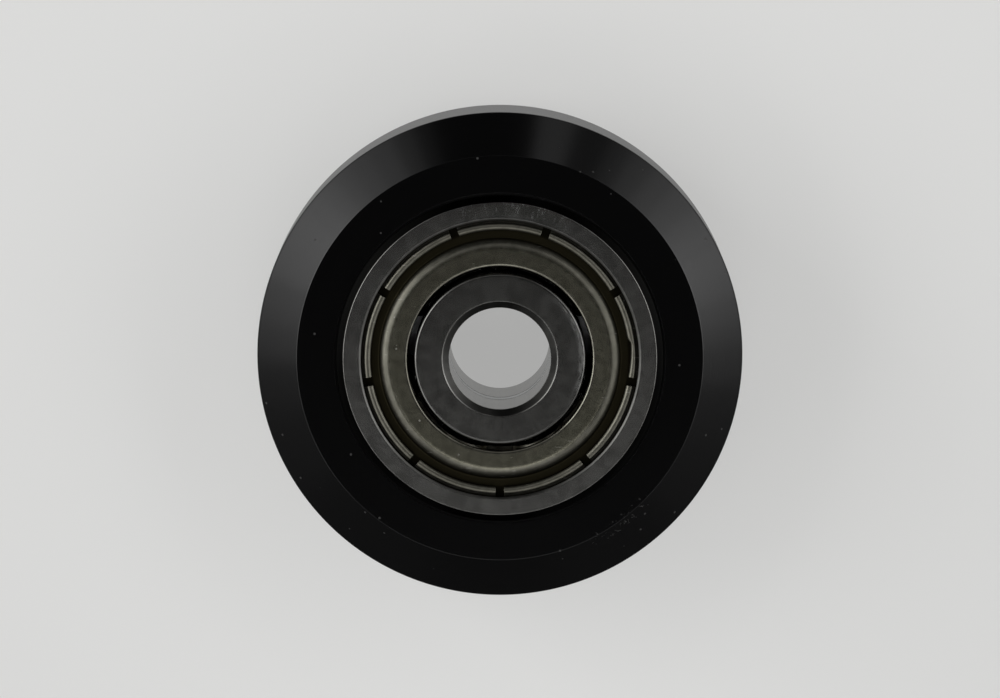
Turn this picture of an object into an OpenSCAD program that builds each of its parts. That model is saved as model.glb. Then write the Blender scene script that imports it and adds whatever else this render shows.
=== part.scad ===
// Solid V profile rail wheel on two shielded ball bearings, in millimetres.
//
// The wheel is one turned piece of black acetal: a flat tread between two sloping
// flanks that run in a V rail, and a bearing seat in each face with a thin rib
// between them. A 5 x 16 x 5 deep groove bearing sits against each side of the rib,
// and a shim as thick as the rib stands between the two inner rings, so that one
// axle screw can clamp the inner rings while the wheel turns on the outer rings.
//
// The origin is the middle of the axle hole. +Z runs along the axle to the front
// face, and the wheel lies on the rear faces of the rear bearing.

/* [Wheel] */
// Diameter across the flat tread
wheel_d = 23.9; // [22.8:0.1:26]
// Width of the wheel from face to face, less than the two bearings and the shim
wheel_w = 10.2; // [9.4:0.1:10.8]
// Height of each sloping flank, from the wheel's face out to its tread
flank_h = 2; // [1.4:0.1:2.4]
// Slope of each flank, from the axle's direction
flank_angle = 45; // [40:1:50]
// Rounding on the edges of the tread and of the faces
wheel_edge_r = 0.12; // [0.05:0.01:0.3]
// Chamfer that leads each bearing into its seat
lead_in = 0.2; // [0.1:0.05:0.4]
// How far the rib between the seats stands in under the outer rings
rib_h = 0.9; // [0.6:0.05:1.1]
// Radial clearance of an outer ring in its seat
seat_gap = 0.01; // [0.01:0.005:0.03]

/* [Shim] */
// Outside diameter of the shim between the inner rings
shim_d = 10; // [8.6:0.1:11]
// Thickness of the shim, and of the wheel's rib
shim_t = 1; // [0.8:0.05:1.5]
// Edge break on the shim
shim_edge = 0.1; // [0.05:0.01:0.2]

/* [Bearing] */
// Axle hole of the bearings and the shim
bore_d = 5; // [4.5:0.1:5.4]
// Outside diameter of a bearing
bearing_d = 16; // [15.6:0.1:17]
// Width of a bearing
bearing_w = 5; // [4.8:0.1:5.4]
// Corner radius of the rings at the axle hole and at the wheel's seat
ring_corner_r = 0.3; // [0.1:0.05:0.4]
// Corner radius of the inner ring's shoulders
shoulder_corner_r = 0.2; // [0.05:0.05:0.3]
// Depth of the ball grooves below the inner and outer lands
race_depth = 0.34; // [0.25:0.01:0.42]
// Radius of a ball groove as a share of the ball's diameter
race_conformity = 0.515; // [0.51:0.005:0.53]
// Clearance between a ball and the bottom of its groove
race_gap = 0.03; // [0.03:0.005:0.05]

/* [Balls and cage] */
// Diameter of a ball
ball_d = 2.778; // [2.6:0.01:2.9]
// Number of balls in a bearing
ball_count = 7; // [5:1:7]
// Sheet thickness of the cage
cage_t = 0.2; // [0.15:0.01:0.24]
// Radial width of the cage's ribbon
cage_w = 1.4; // [1.1:0.05:1.6]
// Clearance between a ball and its pocket
pocket_gap = 0.05; // [0.04:0.01:0.08]
// Shank diameter of a cage rivet
rivet_d = 0.5; // [0.4:0.05:0.6]
// Head diameter of a cage rivet
rivet_head_d = 0.84; // [0.7:0.02:0.9]
// Head height of a cage rivet
rivet_head_h = 0.18; // [0.12:0.02:0.24]
// Clearance of a rivet in its hole
rivet_gap = 0.01; // [0.005:0.005:0.02]

/* [Shields] */
// Sheet thickness of a shield
shield_t = 0.25; // [0.2:0.01:0.28]
// Gap between the inner ring's shoulder and the shield's hole
shield_gap = 0.33; // [0.2:0.01:0.45]
// Width of the shield's raised face
shield_face_w = 1.02; // [0.8:0.02:1.1]
// Radial run of the step from the raised face down to the channel
shield_step_run = 0.3; // [0.2:0.02:0.4]
// How far the raised face lies below the rings' faces
shield_recess = 0.12; // [0.06:0.01:0.16]
// How far the curled rim lies below the rings' faces
rim_recess = 0.08; // [0.04:0.01:0.14]
// Radial width of the curled rim
rim_w = 0.53; // [0.45:0.01:0.58]
// Height of the hollow inside the rim's curl
curl_gap = 0.12; // [0.08:0.01:0.16]
// How far the rim hooks under the edge of its recess
rim_hook = 0.05; // [0.02:0.01:0.08]
// Clearance between the rim and the bottom of its groove
groove_gap = 0.1; // [0.05:0.01:0.14]
// Width of the ledge that a shield stands on, from the land to the recess's edge
ledge_w = 0.5; // [0.46:0.01:0.6]
// Clearance between the rim and the edge that it hooks under
hook_gap = 0.02; // [0.01:0.01:0.04]
// Chamfer at the mouth of the recess
recess_chamfer = 0.08; // [0.03:0.01:0.12]
// Number of slots that let the rim spring into its groove
slot_count = 9; // [6:1:12]
// Width of a slot
slot_w = 0.35; // [0.2:0.05:0.5]

/* [Hidden] */
$fn = 96;

SIDES = ["front", "rear"];
BEARING_PIECES = [
    "outer_ring", "inner_ring", "shield_outboard", "shield_inboard",
    "cage_outboard", "cage_inboard", "cage_rivets"
];

// wheel
wheel_r = wheel_d / 2;
face_r = wheel_r - flank_h;
tread_w = wheel_w - 2 * flank_h / tan(flank_angle);
rib_w = shim_t;
seat_r = bearing_d / 2 + seat_gap;
rib_r = seat_r - rib_h;

// bearing, about its own middle
bore_r = bore_d / 2;
ring_r = bearing_d / 2;
half_w = bearing_w / 2;
ball_r = ball_d / 2;
pitch_r = (bore_r + ring_r) / 2;
shoulder_r = pitch_r - ball_r + race_depth;
land_r = pitch_r + ball_r - race_depth;
race_r = race_conformity * ball_d;
race_shift = race_r - ball_r - race_gap;
bearing_z = (shim_t + bearing_w) / 2;

// cage
pocket_r = ball_r + pocket_gap;
cage_in_r = pitch_r - cage_w / 2;
cage_out_r = pitch_r + cage_w / 2;
rivet_head_ball_r = (pow(rivet_head_d / 2, 2) + pow(rivet_head_h, 2)) / (2 * rivet_head_h);

// shield and the recess it is held in
recess_r = land_r + ledge_w;
rim_r = recess_r + rim_hook;
groove_r = rim_r + groove_gap;
lip_r = rim_r - rim_w;
shield_bore_r = shoulder_r + shield_gap;
step_top_r = shield_bore_r + shield_face_w;
step_foot_r = step_top_r + shield_step_run;
face_z = half_w - shield_recess;
rim_z = half_w - rim_recess;
ledge_z = rim_z - curl_gap - 2 * shield_t;
step_angle = atan((face_z - shield_t - ledge_z) / shield_step_run);
bend_shift = shield_t * tan(step_angle / 2);
inside_bend_r = 0.05;
outside_bend_r = inside_bend_r + shield_t;
sheet_edge_r = 0.08;

// how far down the recess's straight edge goes before the groove starts
hook_rise = sqrt(pow(outside_bend_r, 2) - pow(outside_bend_r - rim_hook, 2));
recess_edge = rim_recess + outside_bend_r - hook_rise - hook_gap;

// An outline whose corners are rounded. Each point is [x, y, corner radius], anticlockwise.
module rounded(points) {
    n = len(points);
    xy = [for (p = points) [p.x, p.y]];
    difference() {
        union() {
            polygon(xy);
            for (i = [0 : n - 1])
                if (points[i].z > 0 && turn(xy, i) < 0) corner(xy, i, points[i].z);
        }
        for (i = [0 : n - 1])
            if (points[i].z > 0 && turn(xy, i) > 0) corner(xy, i, points[i].z);
    }
}

// Which way an outline turns at a point: above 0 is a corner that stands out.
function turn(xy, i) =
    let (into = xy[i] - before(xy, i), out = after(xy, i) - xy[i])
    into.x * out.y - into.y * out.x;
function before(xy, i) = xy[(i + len(xy) - 1) % len(xy)];
function after(xy, i) = xy[(i + 1) % len(xy)];
function toward(a, b) = (b - a) / norm(b - a);

// What lies between a corner of an outline and the arc that rounds it. It reaches past
// the corner, so that it joins what it is added to and clears what it is cut from, and
// it is drawn anticlockwise too.
module corner(xy, i, r) {
    stands_out = turn(xy, i) > 0;
    u = toward(xy[i], stands_out ? after(xy, i) : before(xy, i));
    v = toward(xy[i], stands_out ? before(xy, i) : after(xy, i));
    middle = (u + v) / norm(u + v);
    half = acos(u * v) / 2;
    centre = xy[i] + middle * r / sin(half);
    difference() {
        polygon([xy[i] - middle * r, xy[i] + u * r / tan(half), centre, xy[i] + v * r / tan(half)]);
        translate(centre) circle(r);
    }
}

// The upper half of an outline, followed by its reflection in the mid-plane.
function both_ends(upper) = concat(
    upper,
    [for (i = [len(upper) - 1 : -1 : 0]) [upper[i].x, -upper[i].y, upper[i].z]]
);

// One copy for each ball, turned to its place on the pitch circle.
module each_ball() {
    for (i = [1 : ball_count]) at_ball(i) children();
}

module at_ball(i) {
    rotate(ball_angle(i)) translate([pitch_r, 0, 0]) children();
}

function ball_angle(i) = 90 - (i - 1) * 360 / ball_count;

// A bearing piece, moved to its place. The rear bearing is the front one's mirror image.
module in_bearing(side) {
    mirror([0, 0, side == "rear" ? 1 : 0]) translate([0, 0, bearing_z]) children();
}

module wheel() {
    color("#161616") rotate_extrude() rounded(both_ends([
        [wheel_r, tread_w / 2, wheel_edge_r],
        [face_r, wheel_w / 2, wheel_edge_r],
        [seat_r + lead_in, wheel_w / 2, 0],
        [seat_r, wheel_w / 2 - lead_in, 0],
        [seat_r, rib_w / 2, 0],
        [rib_r, rib_w / 2, 0]
    ]));
}

module spacer_shim() {
    color("#b9bbb8") rotate_extrude() rounded(both_ends([
        [shim_d / 2, shim_t / 2, shim_edge],
        [bore_r, shim_t / 2, shim_edge]
    ]));
}

module outer_ring() {
    color("#6f716f") rotate_extrude() difference() {
        rounded(both_ends([
            [ring_r, half_w, ring_corner_r],
            [recess_r + recess_chamfer, half_w, 0],
            [recess_r, half_w - recess_chamfer, 0],
            [recess_r, half_w - recess_edge, 0],
            [groove_r, half_w - recess_edge, 0],
            [groove_r, ledge_z, 0],
            [land_r, ledge_z, 0]
        ]));
        translate([pitch_r - race_shift, 0]) circle(race_r);
    }
}

module inner_ring() {
    color("#6f716f") rotate_extrude() difference() {
        rounded(both_ends([
            [shoulder_r, half_w, shoulder_corner_r],
            [bore_r, half_w, ring_corner_r]
        ]));
        translate([pitch_r + race_shift, 0]) circle(race_r);
    }
}

// A pressed sheet dish: a raised face round its hole, a step down to a channel that
// stands on the outer ring's ledge, and a rim curled up, out and back over itself.
module shield() {
    color("#77746a") difference() {
        rotate_extrude() rounded([
            [rim_r, rim_z, outside_bend_r],
            [lip_r, rim_z, sheet_edge_r],
            [lip_r, rim_z - shield_t, sheet_edge_r],
            [rim_r - shield_t, rim_z - shield_t, inside_bend_r * 0.8],
            [rim_r - shield_t, ledge_z + shield_t, inside_bend_r * 0.8],
            [step_foot_r, ledge_z + shield_t, inside_bend_r],
            [step_top_r, face_z, outside_bend_r],
            [shield_bore_r, face_z, sheet_edge_r],
            [shield_bore_r, face_z - shield_t, sheet_edge_r],
            [step_top_r - bend_shift, face_z - shield_t, inside_bend_r],
            [step_foot_r - bend_shift, ledge_z, outside_bend_r],
            [rim_r, ledge_z, outside_bend_r]
        ]);
        for (i = [0 : slot_count - 1]) rotate(i * 360 / slot_count - 90)
            translate([lip_r - sheet_edge_r, -slot_w / 2, ledge_z + shield_t])
                cube([rim_w + 2 * sheet_edge_r, slot_w, rim_z]);
    }
}

// Half of the ribbon cage, above the bearing's mid-plane: flat webs between half
// round pockets, with a rivet hole in each web.
module cage_half() {
    color("#a8956a") difference() {
        intersection() {
            ring_between(cage_in_r, cage_out_r, pocket_r + cage_t);
            union() {
                ring_between(cage_in_r, cage_out_r, cage_t);
                each_ball() sphere(pocket_r + cage_t);
            }
        }
        each_ball() sphere(pocket_r);
        each_rivet() cylinder(r = rivet_d / 2 + rivet_gap, h = 3 * cage_t, center = true);
    }
}

module ring_between(inner, outer, height) {
    rotate_extrude() translate([inner, 0]) square([outer - inner, height]);
}

module each_rivet() {
    rotate(180 / ball_count) each_ball() children();
}

module cage_rivets() {
    color("#c9c3b0") each_rivet() {
        cylinder(d = rivet_d, h = 2 * cage_t, center = true);
        for (end = [0, 1]) mirror([0, 0, end]) translate([0, 0, cage_t]) rivet_head();
    }
}

module rivet_head() {
    intersection() {
        translate([0, 0, rivet_head_h - rivet_head_ball_r]) sphere(rivet_head_ball_r);
        cylinder(d = rivet_head_d, h = rivet_head_h);
    }
}

module ball() {
    color("#d9dadb") sphere(d = ball_d);
}

wheel();
spacer_shim();
for (side = SIDES) in_bearing(side) {
    outer_ring();
    inner_ring();
    shield();
    mirror([0, 0, 1]) shield();
    cage_half();
    mirror([0, 0, 1]) cage_half();
    cage_rivets();
    for (i = [1 : ball_count])
        at_ball(i) ball();
}
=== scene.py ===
import math

import bpy
import numpy as np
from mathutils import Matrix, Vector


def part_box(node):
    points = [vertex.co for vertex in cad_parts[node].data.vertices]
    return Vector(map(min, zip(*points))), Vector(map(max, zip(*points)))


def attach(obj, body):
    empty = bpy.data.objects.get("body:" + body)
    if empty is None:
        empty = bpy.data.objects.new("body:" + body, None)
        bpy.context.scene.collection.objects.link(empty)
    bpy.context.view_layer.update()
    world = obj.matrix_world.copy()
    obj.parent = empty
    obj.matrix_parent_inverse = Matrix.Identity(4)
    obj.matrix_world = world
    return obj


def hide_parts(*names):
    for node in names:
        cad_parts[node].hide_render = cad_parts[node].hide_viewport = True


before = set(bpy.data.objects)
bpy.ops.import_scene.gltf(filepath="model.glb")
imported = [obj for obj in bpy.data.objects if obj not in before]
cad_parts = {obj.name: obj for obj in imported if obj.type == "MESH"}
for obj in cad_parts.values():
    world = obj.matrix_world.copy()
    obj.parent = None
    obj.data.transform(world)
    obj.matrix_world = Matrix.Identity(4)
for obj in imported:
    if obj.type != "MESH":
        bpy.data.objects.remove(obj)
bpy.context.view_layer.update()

# ---- Wheel ------------------------------------------------------------------------------
# One piece of black acetal, turned from bar: a flat tread between two sloping flanks, and
# a seat for a bearing in each face. The bearings are pushed in up to a thin rib.
MM = 0.001
ROUND_STEPS = 7
TURN_STEPS = 360
SHARP_FROM = 32.0


def reach(name, base=0.0):
    """How far a CAD node reaches from the axle, and how high its lowest and highest points
    lie above a base, in millimetres rounded to the micrometre."""
    low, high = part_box(name)
    return round(high.x / MM, 3), round(low.z / MM - base, 3), round(high.z / MM - base, 3)


def about(size, *offsets):
    """Radii or heights that follow a size, each at its own offset from it."""
    return [size + offset for offset in offsets]


WHEEL_RADIUS, _, WHEEL_HALF_WIDTH = reach("wheel")
RING_RADIUS, BEARING_FOOT, BEARING_TOP = reach("front_outer_ring")
TREAD_EDGE = 0.1
FACE_EDGE = 0.02
FLANK_HEIGHT = 2.0
FACE_RADIUS = WHEEL_RADIUS - FLANK_HEIGHT
SEAT_GAP = 0.01
SEAT_RADIUS = RING_RADIUS + SEAT_GAP
SEAT_LEAD_IN = 0.12
SEAT_EDGE = 0.008
SEAT_CORNER = 0.02
RIB_DEPTH = 0.9
RIB_RADIUS = SEAT_RADIUS - RIB_DEPTH
RIB_HALF_WIDTH = BEARING_FOOT
RIB_EDGE = 0.03

# Radii between which one part of the wheel's finish gives way to the next.
LEAD_IN_END = about(SEAT_RADIUS + SEAT_LEAD_IN, -0.04, -0.01)
FLANK_START = about(FACE_RADIUS, -0.05, 0.05)

# Where the edge of the face is knocked: degrees from +Y turned towards +X, and radius.
KNOCKED_AT = 143.0
KNOCKED_RADIUS = FACE_RADIUS + 0.1


def rounded(corners, hold=0.05):
    """Closed outline in the (radius, height) plane, anticlockwise, with rounded corners.

    Each corner is (radius, height, rounding). Its arc is the spherical mean of the two
    spokes from the rounding's centre to where it meets the two straight sides. One more
    point on each side, a hold away, keeps the flat beside it flat. The result is one row
    of points for each corner.
    """
    table = np.array(corners, float)
    point, radius = table[:, :2], table[:, 2:]
    back = np.roll(point, 1, 0) - point
    ahead = np.roll(point, -1, 0) - point
    back_length = np.linalg.norm(back, axis=1, keepdims=True)
    ahead_length = np.linalg.norm(ahead, axis=1, keepdims=True)
    back, ahead = back / back_length, ahead / ahead_length
    half = np.arccos((back * ahead).sum(1, keepdims=True)) / 2
    reach = radius / np.tan(half)
    middle = (back + ahead) / np.linalg.norm(back + ahead, axis=1, keepdims=True)
    centre = point + middle * radius / np.sin(half)
    first, last = point + back * reach - centre, point + ahead * reach - centre
    sweep = np.pi - 2 * half
    share = np.linspace(0, 1, ROUND_STEPS)[None, :]
    arc = centre[:, None] + (
        np.sin((1 - share) * sweep)[:, :, None] * first[:, None]
        + np.sin(share * sweep)[:, :, None] * last[:, None]
    ) / np.sin(sweep)[:, :, None]
    back_free = back_length - reach - np.roll(reach, 1, 0)
    ahead_free = ahead_length - reach - np.roll(reach, -1, 0)
    before = point + back * (reach + np.minimum(hold, back_free / 3))
    after = point + ahead * (reach + np.minimum(hold, ahead_free / 3))
    return np.concatenate([before[:, None], arc, after[:, None]], axis=1)


def both_ends(upper):
    """Corners of the upper half of an outline, followed by their reflection in height."""
    return upper + [(r, -z, rounding) for r, z, rounding in reversed(upper)]


def turned(outline):
    """Points of a closed outline carried once round the axle: (r cos a, r sin a, z)."""
    angle = np.linspace(0, 2 * np.pi, TURN_STEPS, endpoint=False)[None, :]
    r, z = outline[:, :1], outline[:, 1:]
    return np.stack([r * np.cos(angle), r * np.sin(angle), z + 0 * angle], axis=2)


def closed_quads(rows, columns):
    """Quads of a grid that closes on itself both ways, facing out of a turned outline."""
    row, column = np.meshgrid(np.arange(rows), np.arange(columns), indexing="ij")
    next_row, next_column = (row + 1) % rows, (column + 1) % columns
    quads = [
        row * columns + column,
        row * columns + next_column,
        next_row * columns + next_column,
        next_row * columns + column,
    ]
    return np.stack(quads, axis=2).reshape(-1, 4)


def piece(name, body, node, points, quads, caps=(), facing_down=False):
    """A mesh object in metres made of quads and of many-sided caps, which rides on a body
    and stands for one CAD node. A mirrored shape faces the right way with facing_down."""
    caps = [np.asarray(cap) for cap in caps]
    if facing_down:
        quads = quads[:, ::-1]
        caps = [cap[::-1] for cap in caps]
    corner_counts = np.array([4] * len(quads) + [len(cap) for cap in caps])
    corners = np.concatenate([quads.ravel(), *caps])
    mesh = bpy.data.meshes.new(name)
    mesh.vertices.add(points.size // 3)
    mesh.vertices.foreach_set("co", (points * MM).ravel())
    mesh.loops.add(len(corners))
    mesh.loops.foreach_set("vertex_index", corners)
    mesh.polygons.add(len(corner_counts))
    mesh.polygons.foreach_set("loop_start", np.cumsum(corner_counts) - corner_counts)
    mesh.update(calc_edges=True)
    mesh.shade_smooth()
    mesh.set_sharp_from_angle(angle=math.radians(SHARP_FROM))
    made = bpy.data.objects.new(name, mesh)
    bpy.context.scene.collection.objects.link(made)
    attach(made, body)
    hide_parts(node)
    return made


def shader(name, **sockets):
    """A new material, its node tree and its surface shader with the given sockets set."""
    material = bpy.data.materials.new(name)
    material.use_nodes = True
    tree = material.node_tree
    surface = tree.nodes["Principled BSDF"]
    for socket, value in sockets.items():
        surface.inputs[socket.replace("_", " ")].default_value = value
    return material, tree, surface


def node(tree, kind, settings=None, **sockets):
    """One shader node. A socket is named, or numbered as s0, s1, and takes a number or
    another node's output."""
    made = tree.nodes.new("ShaderNode" + kind)
    for setting, value in (settings or {}).items():
        setattr(made, setting, value)
    for socket, value in sockets.items():
        numbered = socket[0] == "s" and socket[1:].isdigit()
        target = made.inputs[int(socket[1:]) if numbered else socket.replace("_", " ")]
        if isinstance(value, bpy.types.NodeSocket):
            tree.links.new(value, target)
        else:
            target.default_value = value
    return made.outputs


def dress(tree, surface, colour, gloss, relief=None, depth=0.0):
    """Gives the surface a colour, a roughness and, where there is one, a relief that is
    depth millimetres deep."""
    tree.links.new(colour, surface.inputs["Base Color"])
    tree.links.new(gloss, surface.inputs["Roughness"])
    if relief is not None:
        normal = node(tree, "Bump", Strength=1.0, Distance=depth * MM, Height=relief)[0]
        tree.links.new(normal, surface.inputs["Normal"])


def maths(tree, operation, a, b=0.0):
    """One operation on two numbers, each of them fixed or another node's output."""
    return node(tree, "Math", {"operation": operation}, s0=a, s1=b)[0]


def product(tree, first, *factors):
    """The first value times each factor in turn."""
    for factor in factors:
        first = maths(tree, "MULTIPLY", first, factor)
    return first


def total(tree, first, *terms):
    """The first value with each term added in turn."""
    for term in terms:
        first = maths(tree, "ADD", first, term)
    return first


def strongest(tree, first, *others):
    """The largest of the values."""
    for other in others:
        first = maths(tree, "MAXIMUM", first, other)
    return first


def ramp(tree, value, low, high, to_low=0.0, to_high=1.0):
    """Smooth change from to_low to to_high as the value goes from low to high."""
    settings = {"interpolation_type": "SMOOTHSTEP"}
    sockets = dict(Value=value, From_Min=low, From_Max=high, To_Min=to_low, To_Max=to_high)
    return node(tree, "MapRange", settings, **sockets)[0]


def noise(tree, vector, scale, detail=2.0, roughness=0.5, distortion=0.0):
    """Clouds of noise from 0 to 1 with about scale features in a millimetre."""
    sockets = dict(Vector=vector, Scale=scale, Detail=detail)
    return node(tree, "TexNoise", Roughness=roughness, Distortion=distortion, **sockets)[0]


def blend_colours(tree, factor, a, b):
    """Colour a where the factor is 0, b where it is 1, and a straight blend between."""
    settings = {"data_type": "RGBA"}
    return node(tree, "Mix", settings, Factor=factor, s6=a, s7=b)[2]


def scaled(tree, vector, factor):
    """A vector or a colour times a number."""
    return node(tree, "VectorMath", {"operation": "SCALE"}, s0=vector, Scale=factor)[0]


def about_axle(tree):
    """Place in millimetres, distance from the axle, direction from it, and height."""
    place = scaled(tree, node(tree, "TexCoord")["Object"], 1 / MM)
    flat = node(tree, "VectorMath", {"operation": "MULTIPLY"}, s0=place, s1=(1, 1, 0))[0]
    radius = node(tree, "VectorMath", {"operation": "LENGTH"}, s0=flat)["Value"]
    direction = node(tree, "VectorMath", {"operation": "NORMALIZE"}, s0=flat)[0]
    height = node(tree, "SeparateXYZ", Vector=place)["Z"]
    return place, radius, direction, height


def toward(tree, direction, degrees):
    """How well a direction from the axle agrees with a hand that has turned by degrees from
    +Y towards +X: the cosine of the angle between the two."""
    hand = (math.sin(math.radians(degrees)), math.cos(math.radians(degrees)), 0)
    settings = {"operation": "DOT_PRODUCT"}
    return node(tree, "VectorMath", settings, s0=direction, s1=hand)["Value"]


def turning_lines(tree, radius, height, scale, detail):
    """Fine rings that follow the profile: noise along the radius less the height."""
    along = maths(tree, "SUBTRACT", radius, maths(tree, "ABSOLUTE", height))
    settings = {"noise_dimensions": "1D"}
    return node(tree, "TexNoise", settings, W=along, Scale=scale, Detail=detail)[0]


def specks(tree, place, scale, whole, gone, rarity):
    """Round specks on points of a cell pattern: 1 up to the distance whole from a point and
    0 from gone on. Only the cells whose random value is above rarity have one."""
    settings = {"feature": "F1", "voronoi_dimensions": "3D"}
    cells = node(tree, "TexVoronoi", settings, Vector=place, Scale=scale, Randomness=1.0)
    value = node(tree, "SeparateColor", Color=cells["Color"])[0]
    near = ramp(tree, cells["Distance"], whole, gone, 1.0, 0.0)
    return product(tree, near, maths(tree, "GREATER_THAN", value, rarity))


def black_acetal():
    """Black acetal as turned: fine rings that follow the profile, sparse dust, and nicks
    gathered where one edge of the face has been knocked."""
    black, dust = (0.0012, 0.0012, 0.0013, 1), (0.024, 0.024, 0.023, 1)
    face_gloss, flank_gloss = 0.14, 0.18
    material, tree, surface = shader("black_acetal", IOR=1.48, Specular_IOR_Level=0.5)
    place, radius, direction, height = about_axle(tree)
    rings = turning_lines(tree, radius, height, scale=6.0, detail=1.0)
    grain = noise(tree, place, scale=9.0, detail=3.0, roughness=0.6)
    dusty = specks(tree, place, scale=1.25, whole=0.05, gone=0.09, rarity=0.6)
    off_edge = maths(tree, "ABSOLUTE", maths(tree, "SUBTRACT", radius, KNOCKED_RADIUS))
    chips = noise(tree, place, scale=3.4, detail=3.0, roughness=0.7, distortion=1.2)
    nicks = product(
        tree,
        ramp(tree, toward(tree, direction, KNOCKED_AT), 0.975, 0.995),
        ramp(tree, off_edge, 0.1, 0.5, 1.0, 0.0),
        ramp(tree, chips, 0.60, 0.66),
    )
    marks = strongest(tree, dusty, nicks)
    dull = strongest(tree, marks, ramp(tree, radius, *LEAD_IN_END, 1.0, 0.0))
    gloss = ramp(tree, radius, *FLANK_START, face_gloss, flank_gloss)
    gloss = total(tree, gloss, product(tree, dull, 0.4))
    relief = total(
        tree, product(tree, rings, 0.7), product(tree, grain, 0.3), product(tree, marks, 2.0)
    )
    dress(tree, surface, blend_colours(tree, marks, black, dust), gloss, relief, depth=0.0006)
    return material


wheel_outline = rounded(both_ends([
    (WHEEL_RADIUS, WHEEL_HALF_WIDTH - FLANK_HEIGHT, TREAD_EDGE),
    (FACE_RADIUS, WHEEL_HALF_WIDTH, FACE_EDGE),
    (SEAT_RADIUS + SEAT_LEAD_IN, WHEEL_HALF_WIDTH, SEAT_EDGE),
    (SEAT_RADIUS, WHEEL_HALF_WIDTH - SEAT_LEAD_IN, SEAT_EDGE),
    (SEAT_RADIUS, RIB_HALF_WIDTH, SEAT_CORNER),
    (RIB_RADIUS, RIB_HALF_WIDTH, RIB_EDGE),
])).reshape(-1, 2)
wheel = piece(
    "turned_wheel", "wheel_set", "wheel",
    turned(wheel_outline), closed_quads(len(wheel_outline), TURN_STEPS),
)
wheel.data.materials.append(black_acetal())

# ---- Bearing rings ----------------------------------------------------------------------
# Two 5 x 16 x 5 deep groove bearings, one in each seat. Their rings are hardened steel,
# ground on every face, with a groove for the balls and a chamfer at the hole and the seat.
BEARING_HEIGHT = (BEARING_TOP + BEARING_FOOT) / 2
RING_HALF_WIDTH = (BEARING_TOP - BEARING_FOOT) / 2
BORE_RADIUS = 2.5
RING_CHAMFER = 0.34
RING_CHAMFER_EDGE = 0.025
INBOARD_CHAMFER = 0.1
RING_EDGE = 0.03
SHOULDER_RADIUS = 4.19
SHOULDER_ROUNDING = 0.12

BALL_RADIUS = reach("front_ball_1", BEARING_HEIGHT)[2]
PITCH_RADIUS = (BORE_RADIUS + RING_RADIUS) / 2
RACE_DEPTH = 0.34
RACE_GAP = 0.03
RACE_CONFORMITY = 1.03
RACE_RADIUS = RACE_CONFORMITY * BALL_RADIUS
RACE_SHIFT = RACE_RADIUS - BALL_RADIUS - RACE_GAP
RACE_STEPS = 25
LAND_RADIUS = PITCH_RADIUS + BALL_RADIUS - RACE_DEPTH

RIM_RADIUS, LEDGE_HEIGHT, RIM_HEIGHT = reach("front_shield_outboard", BEARING_HEIGHT)
RECESS_RADIUS = 6.805
RECESS_EDGE_DEPTH = 0.194
RECESS_CHAMFER = 0.085
GROOVE_GAP = 0.1
GROOVE_RADIUS = RIM_RADIUS + GROOVE_GAP
GROOVE_EDGE = 0.02
GROOVE_CORNER = 0.04

# Where the steel's marks, and its painted light and shade, lie: degrees from +Y, turned towards
# +X.
RUBBED_AT = 80.0
SHOULDER_SHADE_LEAST_AT = 285.0
WIPED_AT = 5.0
HOLE_LIGHTER_AT = 35.0
HOLE_DARKER_AT = 122.0

# Bands of radius, of finishes and painted shade: where one begins, is whole, starts to go
# and is gone.
RUBBED_BAND = about(SHOULDER_RADIUS, -0.39, -0.21, -0.11, -0.02)
SHOULDER_BAND = about(SHOULDER_RADIUS, -0.17, -0.09, 0.11, 0.31)
HOLE_CHAMFER_BAND = about(BORE_RADIUS, 0.01, 0.03, 0.27, 0.32)
RECESS_BAND = about(RECESS_RADIUS, -0.305, -0.205, 0.075, 0.155)
GROOVE_BAND = about(GROOVE_RADIUS, -0.449, -0.349, 0.151, 0.251)

# Pairs of radii, and of heights from the bearing's middle, between which a ring's finish
# and its painted shade change.
OUTER_RING_START = about(PITCH_RADIUS, -0.75, 0.75)
OUTER_FACE_START = about(RECESS_RADIUS, 0.145, 0.295)
SEAT_SHADE = about(RING_RADIUS - RING_CHAMFER, -0.08, -0.02)
SEAT_CHAMFER_START = about(RING_RADIUS - RING_CHAMFER, 0.005, 0.04)
SEAT_CHAMFER_FOOT = about(RING_HALF_WIDTH - RING_CHAMFER, -0.21, -0.06)
GROOVE_TOP = about(RING_HALF_WIDTH, -0.12, -0.07)


def race(centre, land):
    """Arc of a ball groove in the (radius, height) plane: its centre plus its radius times
    the cosine and sine of an angle that opens the same way to both edges of the land."""
    opening = math.acos(abs(land - centre) / RACE_RADIUS)
    side = 0 if land > centre else np.pi
    angle = side + np.linspace(opening, -opening, RACE_STEPS)
    return np.stack([centre + RACE_RADIUS * np.cos(angle), RACE_RADIUS * np.sin(angle)], axis=1)


def outer_ring_outline():
    """The ring's section: seat, chamfers, the shields' recesses and the outer ball groove."""
    upper_half = [
        (RING_RADIUS, RING_HALF_WIDTH - RING_CHAMFER, RING_CHAMFER_EDGE),
        (RING_RADIUS - RING_CHAMFER, RING_HALF_WIDTH, RING_CHAMFER_EDGE),
        (RECESS_RADIUS + RECESS_CHAMFER, RING_HALF_WIDTH, RING_EDGE),
        (RECESS_RADIUS, RING_HALF_WIDTH - RECESS_CHAMFER, RING_EDGE),
        (RECESS_RADIUS, RING_HALF_WIDTH - RECESS_EDGE_DEPTH, GROOVE_EDGE),
        (GROOVE_RADIUS, RING_HALF_WIDTH - RECESS_EDGE_DEPTH, GROOVE_EDGE),
        (GROOVE_RADIUS, LEDGE_HEIGHT, GROOVE_CORNER),
        (LAND_RADIUS, LEDGE_HEIGHT, RING_EDGE),
    ]
    rows = rounded(both_ends(upper_half))
    upper, lower = rows[:len(upper_half)], rows[len(upper_half):]
    groove = race(PITCH_RADIUS - RACE_SHIFT, LAND_RADIUS)
    return np.concatenate([upper.reshape(-1, 2), groove, lower.reshape(-1, 2)])


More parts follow.
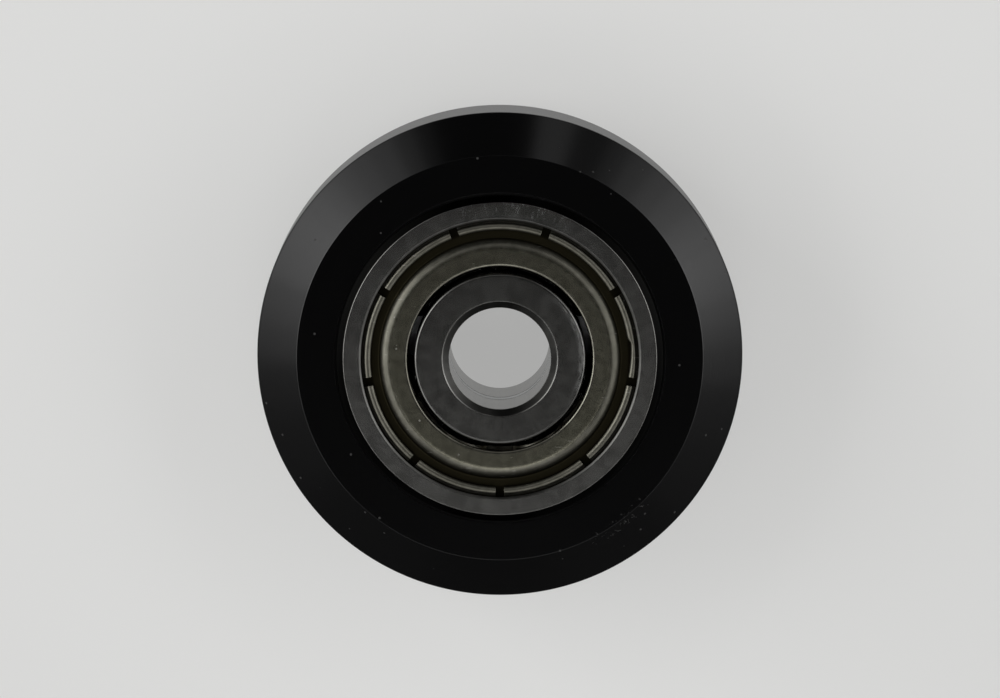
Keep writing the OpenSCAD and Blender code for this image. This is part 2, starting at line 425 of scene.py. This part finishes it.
def inner_ring_outline():
    """The ring's section: shoulders, chamfers at the axle hole and the inner ball groove.
    The chamfer is small where the ring stands on the shim."""
    rows = rounded([
        (SHOULDER_RADIUS, RING_HALF_WIDTH, SHOULDER_ROUNDING),
        (BORE_RADIUS + RING_CHAMFER, RING_HALF_WIDTH, RING_CHAMFER_EDGE),
        (BORE_RADIUS, RING_HALF_WIDTH - RING_CHAMFER, RING_CHAMFER_EDGE),
        (BORE_RADIUS, INBOARD_CHAMFER - RING_HALF_WIDTH, RING_EDGE),
        (BORE_RADIUS + INBOARD_CHAMFER, -RING_HALF_WIDTH, RING_EDGE),
        (SHOULDER_RADIUS, -RING_HALF_WIDTH, SHOULDER_ROUNDING),
    ])
    groove = race(PITCH_RADIUS + RACE_SHIFT, SHOULDER_RADIUS)
    return np.concatenate([rows.reshape(-1, 2), groove])


def bearing_height(tree, height):
    """Height from the middle of a bearing, the same towards both of its faces."""
    above = maths(tree, "SUBTRACT", maths(tree, "ABSOLUTE", height), BEARING_HEIGHT)
    return maths(tree, "ABSOLUTE", above)


def band(tree, radius, limits):
    """1 inside a band of radius, with a smooth rise before it and a smooth fall after."""
    begins, whole, until, gone = limits
    rise = ramp(tree, radius, begins, whole)
    return product(tree, rise, ramp(tree, radius, until, gone, 1.0, 0.0))


def left_by(tree, share):
    """What a share leaves of the whole: 1 minus the share."""
    return maths(tree, "SUBTRACT", 1.0, share)


def unrolled(tree, direction, radius, along_scale, across_scale):
    """A place on a flat face for streaks: the direction from the axle, scaled for how fast
    they change round it, and the radius, scaled for how fast they change outward."""
    outward = node(tree, "CombineXYZ", Z=product(tree, radius, across_scale))[0]
    along = scaled(tree, direction, along_scale)
    return node(tree, "VectorMath", {"operation": "ADD"}, s0=along, s1=outward)[0]


def ring_tone(tree, radius, direction, recess):
    """How much of the steel's colour a place keeps: less on the inner ring and on the edge of
    the shields' recess, and painted shade beside the seat's chamfer and on the inner ring's
    rounded edge, where it is least on one side."""
    # Painted shade on the inner ring's rounded edge, least on one side.
    shoulder_shade = ramp(tree, toward(tree, direction, SHOULDER_SHADE_LEAST_AT), -0.5, 0.8, 0.56, 0.24)
    return product(
        tree,
        ramp(tree, radius, *OUTER_RING_START, 0.79, 0.97),
        left_by(tree, product(tree, recess, 0.44)),
        ramp(tree, radius, *SEAT_SHADE, 1.0, 0.82),
        left_by(tree, product(tree, band(tree, radius, SHOULDER_BAND), shoulder_shade)),
    )


def ring_steel():
    """Ground bearing steel: fine rings from grinding, faint streaks that run outward, soft
    clouding, a shoulder rubbed bright on one side, and bright wipes across the outer ring
    on another. The chamfers and the shields' groove are painted near black, as the dark oxide
    of hardening and as painted shade. At the axle hole that black is painted lighter on one
    side and darker on another, as painted light and shade."""
    light, dark = (0.265, 0.263, 0.25, 1), (0.212, 0.21, 0.199, 1)
    oxide_and_shade_black, rubbed = (0.002, 0.002, 0.0018, 1), (0.5, 0.5, 0.49, 1)
    material, tree, surface = shader("ring_steel", Metallic=1.0)
    place, radius, direction, height = about_axle(tree)
    level = bearing_height(tree, height)
    recess = band(tree, radius, RECESS_BAND)

    streaks = noise(tree, scaled(tree, direction, 9.0), scale=0.9)
    clouds = noise(tree, place, scale=1.1, detail=4.0, roughness=0.6, distortion=0.8)
    mottle = total(tree, product(tree, streaks, 0.4), product(tree, clouds, 0.6))
    colour = blend_colours(tree, ramp(tree, mottle, 0.4, 0.62), dark, light)
    colour = scaled(tree, colour, ring_tone(tree, radius, direction, recess))

    scrapes = unrolled(tree, direction, radius, along_scale=6.0, across_scale=9.0)
    scrapes = noise(tree, scrapes, scale=1.0, detail=3.0, roughness=0.65)
    rub = product(
        tree,
        band(tree, radius, RUBBED_BAND),
        ramp(tree, toward(tree, direction, RUBBED_AT), 0.7, 0.96),
        ramp(tree, scrapes, 0.34, 0.66, 0.1, 0.7),
    )
    wipes = unrolled(tree, direction, radius, along_scale=62.0, across_scale=2.2)
    wipes = product(
        tree,
        ramp(tree, noise(tree, wipes, scale=1.0, roughness=0.6), 0.55, 0.64),
        ramp(tree, toward(tree, direction, WIPED_AT), 0.9, 0.97, 0.0, 0.8),
        ramp(tree, radius, *OUTER_FACE_START),
    )
    colour = blend_colours(tree, rub, colour, rubbed)
    colour = blend_colours(tree, wipes, colour, rubbed)

    # Painted light and shade at the axle hole's chamfer: its black is darker towards one side
    # and lighter towards another.
    hole_darker = ramp(tree, toward(tree, direction, HOLE_DARKER_AT), 0.35, 0.9, 0.7, 0.86)
    hole_lighter = ramp(tree, toward(tree, direction, HOLE_LIGHTER_AT), 0.55, 0.93, 0.0, 0.4)
    hole_black = maths(tree, "SUBTRACT", hole_darker, hole_lighter)
    hole_chamfer = product(tree, band(tree, radius, HOLE_CHAMFER_BAND), hole_black)
    # The chamfers and the shields' groove are painted near black: dark oxide of hardening and
    # painted shade.
    seat_chamfer = product(
        tree, ramp(tree, radius, *SEAT_CHAMFER_START), ramp(tree, level, *SEAT_CHAMFER_FOOT)
    )
    groove = ramp(tree, level, *GROOVE_TOP, 1.0, 0.0)
    groove = product(tree, band(tree, radius, GROOVE_BAND), groove)
    oxide_and_shade = strongest(tree, seat_chamfer, hole_chamfer, groove)
    colour = blend_colours(tree, oxide_and_shade, colour, oxide_and_shade_black)

    gloss = total(
        tree,
        ramp(tree, clouds, 0.35, 0.65, 0.23, 0.25),
        product(tree, rub, 0.12),
        product(tree, hole_chamfer, 0.14),
        product(tree, recess, 0.08),
    )
    rings = turning_lines(tree, radius, height, scale=4.5, detail=0.0)
    dress(tree, surface, colour, gloss, rings, depth=0.0003)
    return material


def raised(points, side):
    """A bearing piece's points, moved to its seat, or mirrored into the rear one."""
    up = 1 if side == "front" else -1
    x, y, z = points[..., 0], points[..., 1], points[..., 2]
    return np.stack([x, y, up * (z + BEARING_HEIGHT)], axis=-1)


steel = ring_steel()
for side in ("front", "rear"):
    for name, body, outline in (
        ("outer_ring", "wheel_set", outer_ring_outline()),
        ("inner_ring", "axle_set", inner_ring_outline()),
    ):
        ring = piece(
            f"{side}_{name}_ground", body, f"{side}_{name}",
            raised(turned(outline), side), closed_quads(len(outline), TURN_STEPS),
            facing_down=side == "rear",
        )
        ring.data.materials.append(steel)

# ---- Shields ----------------------------------------------------------------------------
# Dishes pressed from thin steel sheet, two to a bearing. A raised face goes round the inner
# ring, and a rim, slotted so that it can spring, is curled into the outer ring's groove.
SHEET = 0.25
SHEET_EDGE = 0.08
SHIELD_BORE = 4.525
SHIELD_BORE_BEND = 0.125
SHIELD_FACE_DEPTH = 0.12
SHIELD_FACE_HEIGHT = RING_HALF_WIDTH - SHIELD_FACE_DEPTH

STEP_TOP = 5.61
STEP_FOOT = 5.94
STEP_BEND = 0.6
STEP_SLOPE = 45.0
FOOT_BEND = 0.12
UNDER_SHIFT = round(SHEET * math.tan(math.radians(STEP_SLOPE / 2)), 4)

LIP_WIDTH = 0.53
LIP_RADIUS = RIM_RADIUS - LIP_WIDTH
LIP_BEND = 0.165
OUTER_BEND = 0.3
INNER_BEND = 0.04
HOOK_RADIUS = 6.665
HOOK_HEIGHT = 2.2
HOOK_BEND = 0.17
HOOK_FALL = 0.06
HOOK_LEAN = 0.005
HOOK_EDGE = 0.03

SLOTS = 9
SLOT_WIDTH = 0.42
FIRST_SLOT_AT = -90.0
FINGER_STEPS = 36
SLOT_STEPS = 4

# The finger that is bent outward: degrees from +X where it gives way and where it is back.
DENT_FROM, DENT_TO, DENT_DEPTH = 7.8, -11.0, 0.135
DENT_SOFTNESS = 0.4
DENT_DROP = 0.25

SHEARED_FROM = 60.0
SHEARED_WIDTH = 0.035
SAME_PLACE = 0.0012

# Pairs of radii between which one part of a shield's finish and painted shade gives way to
# the next, and the heights from the bearing's middle between which the painted shade under
# the rim ends.
HOLE_SHADE = about(SHIELD_BORE, 0.055, 0.195)
HOLE_CLEAN = about(SHIELD_BORE, 0.095, 0.215)
STEP_ROUGH = about(STEP_TOP, -0.31, -0.01)
STEP_SHADE = about(STEP_TOP, -0.26, -0.01)
STEP_CLEAN = about(STEP_TOP, -0.26, -0.06)
CHANNEL_START = about(STEP_FOOT, -0.22, -0.04)
RIM_SHADE = about(LIP_RADIUS, -0.219, -0.069)
RIM_ROUGH = about(LIP_RADIUS, -0.119, -0.019)
SLOT_START = about(LIP_RADIUS, -0.099, 0.021)
HOOK_START = about(HOOK_RADIUS, 0.015, 0.095)
PAINTED_SHADE_TOP = about(RIM_HEIGHT - SHEET, -0.05, 0.05)


def shield_outline():
    """The dish's section in two chains: the dish itself, from the channel's outer corner
    inward, round the hole and back under to the rim, and the curl from there back. The
    rim's outer bend is split where it crosses the channel's floor."""
    floor = LEDGE_HEIGHT + SHEET
    rows = rounded([
        (HOOK_RADIUS, RIM_HEIGHT, HOOK_BEND),
        (LIP_RADIUS, RIM_HEIGHT, LIP_BEND),
        (LIP_RADIUS, RIM_HEIGHT - SHEET, SHEET_EDGE),
        (RIM_RADIUS - SHEET, RIM_HEIGHT - SHEET, INNER_BEND),
        (RIM_RADIUS - SHEET, floor, INNER_BEND),
        (STEP_FOOT, floor, FOOT_BEND),
        (STEP_TOP, SHIELD_FACE_HEIGHT, STEP_BEND),
        (SHIELD_BORE, SHIELD_FACE_HEIGHT, SHIELD_BORE_BEND),
        (SHIELD_BORE, SHIELD_FACE_HEIGHT - SHEET, SHEET_EDGE),
        (STEP_TOP - UNDER_SHIFT, SHIELD_FACE_HEIGHT - SHEET, STEP_BEND - SHEET),
        (STEP_FOOT - UNDER_SHIFT, LEDGE_HEIGHT, OUTER_BEND),
        (RIM_RADIUS, LEDGE_HEIGHT, OUTER_BEND),
        (RIM_RADIUS, HOOK_HEIGHT - HOOK_FALL, HOOK_EDGE),
        (HOOK_RADIUS + HOOK_LEAN, HOOK_HEIGHT, HOOK_EDGE),
    ])
    lip, corner, face, bend, hook = rows[:4], rows[4], rows[5:11], rows[11], rows[12:]
    below = bend[:, 1] < floor
    rise = math.sqrt(OUTER_BEND**2 - (OUTER_BEND - SHEET) ** 2)
    split = [[RIM_RADIUS - OUTER_BEND + rise, floor]]
    dish = np.concatenate([corner[-2:], face.reshape(-1, 2), bend[below], split])
    curl = np.concatenate([bend[~below], hook.reshape(-1, 2), lip.reshape(-1, 2), corner[:-2]])
    return dish, curl


def shield_points(chain, share, slots):
    """Points of a chain at each column. A column lies at a share of its finger, between
    the slots' walls, or at a share of the slot when it is negative. The walls of a slot
    are parallel, so at radius r a wall stands asin(half width / r) from its middle."""
    r, z = chain[:, :1], chain[:, 1:]
    wall = np.arcsin(SLOT_WIDTH / 2 / r)
    pitch = 2 * np.pi / SLOTS
    finger = wall + share * (pitch - 2 * wall)
    gap = pitch - wall - share * 2 * wall
    angle = slots + np.where(share < 0, gap, finger)
    return r + 0 * angle, angle, z + 0 * angle


def dented(r, angle, z, amount):
    """Pushes the free edge of one finger of the rim outward and down by an amount: it gives
    way at once, by a logistic step, and comes back evenly to the finger's other end."""
    degrees = np.degrees((angle + np.pi) % (2 * np.pi) - np.pi)
    gives = 1 / (1 + np.exp((degrees - DENT_FROM) / DENT_SOFTNESS))
    comes_back = np.clip((degrees - DENT_TO) / (DENT_FROM - DENT_TO), 0, 1)
    edge = np.clip((RIM_RADIUS - SHEET - r) / (RIM_RADIUS - SHEET - LIP_RADIUS), 0, 1)
    push = amount * gives * comes_back * edge
    return r + push, angle, z - DENT_DROP * push


def strip(lower, upper, here, columns):
    """Quads from the lower rows to the upper rows at the columns here, each of them as wide
    as one column. The last column is followed by the first."""
    after = (here + 1) % columns
    lower, upper = lower * columns, upper * columns
    quads = np.stack([lower + here, lower + after, upper + after, upper + here], axis=-1)
    return quads.reshape(-1, 4)


def shield_faces(dish_rows, curl_rows, per_slot):
    """Quads and caps of a shield: the dish goes all the way round, the curl stands on each
    finger, and a floor strip and two walls close each slot."""
    columns = SLOTS * per_slot
    column = np.arange(columns)
    on_finger = column % per_slot < FINGER_STEPS
    row = np.arange(dish_rows + curl_rows)
    foot = row[dish_rows - 1]
    loop = np.append(row[foot:], 0)
    quads = np.concatenate([
        strip(row[:foot, None], row[1:dish_rows, None], column, columns),
        strip(loop[:-1, None], loop[1:, None], column[on_finger], columns),
        strip(foot, 0, column[~on_finger], columns),
    ])
    walls = loop * columns + np.arange(SLOTS)[:, None] * per_slot
    return quads, [*walls, *(walls + FINGER_STEPS)[:, ::-1]]


def shield(name, node_name, side, outboard, dent=0.0):
    """A shield from its two chains, which share their columns: shares of each finger, and
    then shares of the slot after it, counted from the first slot round the axle."""
    dish, curl = shield_outline()
    both = np.concatenate([dish, curl])
    fingers = np.linspace(0, 1, FINGER_STEPS + 1)
    slots = -np.linspace(0, 1, SLOT_STEPS, endpoint=False)[1:]
    shares = np.concatenate([fingers, slots])
    starts = np.repeat(np.arange(SLOTS), len(shares)) * 2 * np.pi / SLOTS
    starts = starts + math.radians(FIRST_SLOT_AT)
    r, angle, z = shield_points(both, np.tile(shares, SLOTS)[None, :], starts[None, :])
    if dent:
        on_curl = (np.arange(len(both)) >= len(dish))[:, None]
        r, angle, z = dented(r, angle, z, dent * on_curl)
    up = 1 if outboard else -1
    points = np.stack([r * np.cos(angle), r * np.sin(angle), up * z], axis=2)
    quads, caps = shield_faces(len(dish), len(curl), len(shares))
    made = piece(
        name, "wheel_set", node_name, raised(points, side), quads, caps,
        facing_down=(side == "rear") == outboard,
    )
    burr = made.modifiers.new("sheared_edges", "BEVEL")
    burr.width = SHEARED_WIDTH * MM
    burr.segments = 2
    burr.limit_method = "ANGLE"
    burr.angle_limit = math.radians(SHEARED_FROM)
    closed = made.modifiers.new("closed_corners", "WELD")
    closed.merge_threshold = SAME_PLACE * MM
    return made


def sheet_tone(tree, radius):
    """How much of the sheet's colour a place keeps, as painted shade: less on the edge of the
    hole, much less from the step outward, and somewhat more again on the rim."""
    return product(
        tree,
        ramp(tree, radius, *STEP_SHADE, 1.0, 0.42),
        ramp(tree, radius, *RIM_SHADE, 1.0, 1.44),
        ramp(tree, radius, *HOLE_SHADE, 0.79, 1.0),
    )


def shield_steel():
    """Rolled steel sheet under a film of old oil: a slightly brown mottle that is cleaner on
    the bends, and sparse bright specks and hair scratches. Painted shade darkens it at the
    edge of the hole and from the step outward, less on the rim. The slots and the curl are
    painted nearly black as shade, and the channel a little paler."""
    light, dark = (0.272, 0.263, 0.203, 1), (0.214, 0.207, 0.157, 1)
    painted_shade_black, bright = (0.0185, 0.016, 0.009), (0.5, 0.49, 0.46, 1)
    material, tree, surface = shader("shield_steel", Metallic=1.0)
    place, radius, _, height = about_axle(tree)
    level = bearing_height(tree, height)
    mottle = noise(tree, place, scale=2.4, detail=5.0, roughness=0.6, distortion=0.4)

    colour = blend_colours(tree, ramp(tree, mottle, 0.35, 0.65), dark, light)
    # Painted shade: darker at the edge of the hole and from the step outward, less so on the
    # rim.
    colour = scaled(tree, colour, sheet_tone(tree, radius))
    near_hole = ramp(tree, radius, *HOLE_CLEAN, 1.0, 0.0)
    bends = strongest(tree, near_hole, ramp(tree, radius, *STEP_CLEAN))
    bluer = total(tree, 1.0, product(tree, bends, 0.08))
    bluer = node(tree, "CombineXYZ", X=1.0, Y=1.0, Z=bluer)[0]
    colour = node(tree, "VectorMath", {"operation": "MULTIPLY"}, s0=colour, s1=bluer)[0]

    # Hair scratches: the pattern is drawn out along X, and then turned as a whole.
    hairs = dict(Rotation=(0, 0, math.radians(38)), Scale=(0.7, 9.0, 1.0))
    hairs = node(tree, "Mapping", Vector=place, **hairs)[0]
    scratches = ramp(tree, noise(tree, hairs, scale=1.3, detail=1.0), 0.74, 0.78)
    dots = specks(tree, place, scale=1.6, whole=0.05, gone=0.11, rarity=0.7)
    bare = strongest(tree, product(tree, scratches, 0.5), product(tree, dots, 0.7))
    colour = blend_colours(tree, bare, colour, bright)

    # Painted shade: the channel, the slots and the curl are darkened nearly to black.
    in_channel = ramp(tree, radius, *CHANNEL_START)
    in_channel = product(tree, in_channel, ramp(tree, level, *PAINTED_SHADE_TOP, 1.0, 0.0))
    painted_shade_mask = strongest(tree, in_channel, ramp(tree, radius, *HOOK_START, 0.0, 0.45))
    painted_shade_black = scaled(tree, painted_shade_black, ramp(tree, radius, *SLOT_START, 1.0, 0.4))
    colour = blend_colours(tree, painted_shade_mask, colour, painted_shade_black)

    gloss = total(
        tree,
        ramp(tree, mottle, 0.3, 0.7, 0.235, 0.25),
        product(tree, bare, 0.2),
        ramp(tree, radius, *STEP_ROUGH, 0.0, 0.1),
        ramp(tree, radius, *RIM_ROUGH, 0.0, 0.07),
        product(tree, in_channel, 0.1),
    )
    grain = noise(tree, place, scale=3.5, roughness=0.6)
    dress(tree, surface, colour, gloss, maths(tree, "SUBTRACT", grain, bare), depth=0.0008)
    return material


pressed = shield_steel()
for side in ("front", "rear"):
    for place in ("outboard", "inboard"):
        seen = side == "front" and place == "outboard"
        dish = shield(
            f"{side}_shield_{place}_pressed", f"{side}_shield_{place}", side,
            place == "outboard", DENT_DEPTH if seen else 0.0,
        )
        dish.data.materials.append(pressed)

# ---- Spacer shim ------------------------------------------------------------------------
# A plain washer between the two inner rings, so that an axle screw can clamp them. It is
# turned from steel, its edges are broken, and it is zinc plated.
SHIM_RADIUS, _, SHIM_HALF = reach("spacer_shim")
SHIM_EDGE = 0.1
SHIM_BORE_EDGE = 0.04


def plated_steel():
    """Bright zinc plating: pale, slightly blue, with soft clouding and fine pits."""
    dull, clear = (0.5, 0.51, 0.52, 1), (0.62, 0.63, 0.63, 1)
    material, tree, surface = shader("plated_steel", Metallic=1.0)
    place = about_axle(tree)[0]
    clouds = noise(tree, place, scale=1.4, detail=3.0)
    pits = noise(tree, place, scale=12.0)
    colour = blend_colours(tree, ramp(tree, clouds, 0.3, 0.7), dull, clear)
    dress(tree, surface, colour, ramp(tree, clouds, 0.3, 0.7, 0.28, 0.4), pits, depth=0.001)
    return material


shim_outline = rounded(both_ends([
    (SHIM_RADIUS, SHIM_HALF, SHIM_EDGE),
    (BORE_RADIUS, SHIM_HALF, SHIM_BORE_EDGE),
])).reshape(-1, 2)
shim = piece(
    "spacer_shim_turned", "axle_set", "spacer_shim",
    turned(shim_outline), closed_quads(len(shim_outline), TURN_STEPS),
)
shim.data.materials.append(plated_steel())

# ---- Cages, rivets and balls ------------------------------------------------------------
# In each bearing a ribbon cage, pressed in two halves and riveted together, holds seven
# polished balls apart. They keep their solids, with the finish of each.


def cage_steel():
    """Pressed strip: a warm grey with fine grain and a film of oil."""
    oily, clear = (0.30, 0.28, 0.23, 1), (0.44, 0.42, 0.36, 1)
    material, tree, surface = shader("cage_strip", Metallic=1.0)
    place = about_axle(tree)[0]
    clouds = noise(tree, place, scale=2.0, detail=4.0, roughness=0.6)
    grain = noise(tree, place, scale=16.0)
    colour = blend_colours(tree, ramp(tree, clouds, 0.3, 0.7), oily, clear)
    dress(tree, surface, colour, ramp(tree, clouds, 0.3, 0.7, 0.3, 0.42), grain, depth=0.001)
    return material


def ball_steel():
    """Polished chrome steel with a faint oil haze."""
    hazy, clear = (0.55, 0.55, 0.56, 1), (0.62, 0.62, 0.63, 1)
    material, tree, surface = shader("ball_polish", Metallic=1.0)
    haze = noise(tree, about_axle(tree)[0], scale=1.2, detail=3.0)
    colour = blend_colours(tree, ramp(tree, haze, 0.3, 0.7), hazy, clear)
    dress(tree, surface, colour, ramp(tree, haze, 0.3, 0.7, 0.05, 0.12))
    return material


strip_finish, polish = cage_steel(), ball_steel()
for name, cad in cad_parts.items():
    if "_cage_" in name or "_ball_" in name:
        cad.data.materials.clear()
        cad.data.materials.append(polish if "_ball_" in name else strip_finish)

# ---- Floor, light and camera ------------------------------------------------------------
# A plain pale floor that the wheel lies on, soft boxes round it and above it, and a long
# lens that looks down the axle, a few degrees off it.
FLOOR_GAP = 0.01
FLOOR_HEIGHT = reach("rear_outer_ring")[1] - FLOOR_GAP
FLOOR_SIZE = 380.0
SHOWN_SHARE = 0.5
FAR_SHOWN = 0.9

# A pool of light is painted on the floor round this place, up to the first distance; the
# floor is dim past the second.
PAINTED_POOL_CENTRE = (0.0, 8.0, FLOOR_HEIGHT)
PAINTED_POOL_FADES = (22.0, 60.0)

# A shadow is painted on the floor beside the wheel, in gloss only: past these distances
# from the axle, this much of the floor's tone is lost.
PAINTED_SHADOW_STARTS = (6.0, 11.0)
PAINTED_SHADOW_LOST = 0.48

# Rows of panels side by side: elevation, spread upward, and then from, to and radiance.
PANEL_DISTANCE = 650.0
PANEL_ROWS = (
    (9, 18, (
        (221, 252, 0.3), (200, 221, 0.62), (187, 200, 0.8), (178, 187, 1.55), (167, 178, 1.9),
        (147, 167, 2.43), (142, 147, 2.2), (137, 142, 1.75), (132, 137, 1.3),
        (126, 132, 1.0), (119, 126, 0.75), (113, 119, 0.36), (108, 113, 0.1),
        (70, 80, 0.43), (60, 70, 0.1), (54, 60, 0.28), (47, 54, 0.6),
        (40, 47, 0.98), (33, 40, 1.38), (28, 33, 1.85), (23, 28, 2.25),
        (8, 23, 2.55), (2, 8, 2.25), (-3, 2, 1.9), (-13, -3, 1.5),
        (-30, -13, 0.86), (-47, -30, 0.72), (-78, -47, 0.3),
    )),
    (28, 20, (
        (140, 190, 3.4), (192, 228, 1.3), (232, 308, 0.2), (310, 342, 1.0),
        (-16, 32, 1.35), (35, 69, 0.15),
    )),
    (48, 20, (
        (137, 193, 2.15), (195, 231, 1.8), (235, 315, 1.1), (-30, 60, 1.4), (70, 130, 0.6),
    )),
    (67, 19, ((249, 291, 1.45),)),
)

# How bright the room round the floor is: as a light, in gloss, and to the eye.
ROOM_LIGHT = 0.018
ROOM_IN_GLOSS = 0.018
ROOM_SEEN = 0.64

# The camera leans back from the axle towards +Y, and looks at a place on the front face.
LENS = 235.9
SENSOR = 36
VIEW_TILT = 5.5
VIEW_DISTANCE = 320.4
LOOKED_AT = (0.007, 0.5, 5.5)


def floor_paint():
    """Pale paint that keeps shadows. Part of its light is its own for what is seen
    directly or in a reflection. A pool of light is painted on it: away from the wheel it falls
    off to grey for all but the eye, as a floor does outside its lamps. In gloss a painted
    shadow makes it dimmer beside the wheel."""
    grey, pale = (0.055, 0.055, 0.055, 1), (0.78, 0.78, 0.77, 1)
    material = bpy.data.materials.new("floor_paint")
    material.use_nodes = True
    tree = material.node_tree
    tree.nodes.clear()
    place, radius = about_axle(tree)[:2]
    path = node(tree, "LightPath")
    settings = {"operation": "DISTANCE"}
    away = node(tree, "VectorMath", settings, s0=place, s1=PAINTED_POOL_CENTRE)["Value"]
    far = product(tree, path["Is Camera Ray"], FAR_SHOWN)
    # A shadow painted on the floor in gloss: dimmer past a distance from the axle.
    beside = product(tree, ramp(tree, radius, *PAINTED_SHADOW_STARTS), path["Is Glossy Ray"])
    beside = left_by(tree, product(tree, beside, PAINTED_SHADOW_LOST))
    # A pool of light painted on the floor: pale near the wheel, grey far off for all but the
    # eye.
    share = product(tree, ramp(tree, away, *PAINTED_POOL_FADES, 1.0, far), beside)
    colour = blend_colours(tree, share, grey, pale)
    shown = strongest(
        tree, path["Is Camera Ray"], path["Is Glossy Ray"], path["Is Transmission Ray"]
    )
    shown = product(tree, shown, SHOWN_SHARE)
    paint = node(tree, "BsdfDiffuse", Color=colour)[0]
    glow = node(tree, "Emission", Color=colour, Strength=1.0)[0]
    mix = node(tree, "MixShader", Fac=shown, s1=paint, s2=glow)[0]
    output = tree.nodes.new("ShaderNodeOutputMaterial")
    tree.links.new(mix, output.inputs["Surface"])
    return material


half = FLOOR_SIZE / 2
corners = np.array([[-half, -half], [half, -half], [half, half], [-half, half]])
corners = np.column_stack([corners, np.full(4, FLOOR_HEIGHT)]) * MM
floor_mesh = bpy.data.meshes.new("floor")
floor_mesh.from_pydata(corners, [], [(0, 1, 2, 3)])
floor = bpy.data.objects.new("floor", floor_mesh)
bpy.context.scene.collection.objects.link(floor)
floor_mesh.materials.append(floor_paint())


def soft_panel(name, azimuth, elevation, across, upward, radiance):
    """A rectangular lamp that faces the wheel. Azimuth is anticlockwise from +X. Angles,
    and the spread across and upward that the wheel sees, are in degrees. A face of
    radiance L sends out pi L for each unit of area."""
    a, e = math.radians(azimuth), math.radians(elevation)
    away = PANEL_DISTANCE * MM
    way = np.array([math.cos(a) * math.cos(e), math.sin(a) * math.cos(e), math.sin(e)])
    lamp = bpy.data.lights.new(name, "AREA")
    lamp.shape = "RECTANGLE"
    lamp.size = 2 * away * math.cos(e) * math.tan(math.radians(across) / 2)
    lamp.size_y = 2 * away * math.tan(math.radians(upward) / 2)
    lamp.energy = math.pi * radiance * lamp.size * lamp.size_y
    made = bpy.data.objects.new(name, lamp)
    made.location = away * way
    made.rotation_euler = (-made.location).to_track_quat("-Z", "Y").to_euler()
    made.visible_camera = False
    bpy.context.scene.collection.objects.link(made)


for elevation, upward, row in PANEL_ROWS:
    for start, end, radiance in row:
        name = f"panel_{elevation}_{start % 360}"
        soft_panel(name, (start + end) / 2, elevation, end - start, upward, radiance)


def studio_air():
    """The room round the wheel: dim as a light, dim in gloss and pale to the eye."""
    world = bpy.data.worlds.new("studio")
    world.use_nodes = True
    tree = world.node_tree
    path = node(tree, "LightPath")
    mirrored = strongest(tree, path["Is Glossy Ray"], path["Is Transmission Ray"])
    mirrored = product(tree, mirrored, ROOM_IN_GLOSS)
    seen = product(tree, path["Is Camera Ray"], ROOM_SEEN)
    background = tree.nodes["Background"]
    background.inputs["Color"].default_value = (1.0, 1.0, 0.99, 1)
    level = strongest(tree, ROOM_LIGHT, mirrored, seen)
    tree.links.new(level, background.inputs["Strength"])
    return world


bpy.context.scene.world = studio_air()

camera = bpy.data.cameras.new("camera")
camera.lens = LENS
camera.sensor_width = SENSOR
camera.clip_start, camera.clip_end = 0.01, 10
tilt = math.radians(VIEW_TILT)
back_off = VIEW_DISTANCE * np.array([0, math.sin(tilt), math.cos(tilt)])
seen_from = bpy.data.objects.new("camera", camera)
seen_from.location = (np.array(LOOKED_AT) + back_off) * MM
seen_from.rotation_euler = (-tilt, 0, 0)
bpy.context.scene.collection.objects.link(seen_from)
bpy.context.scene.camera = seen_from
bpy.context.scene.view_settings.view_transform = "Standard"
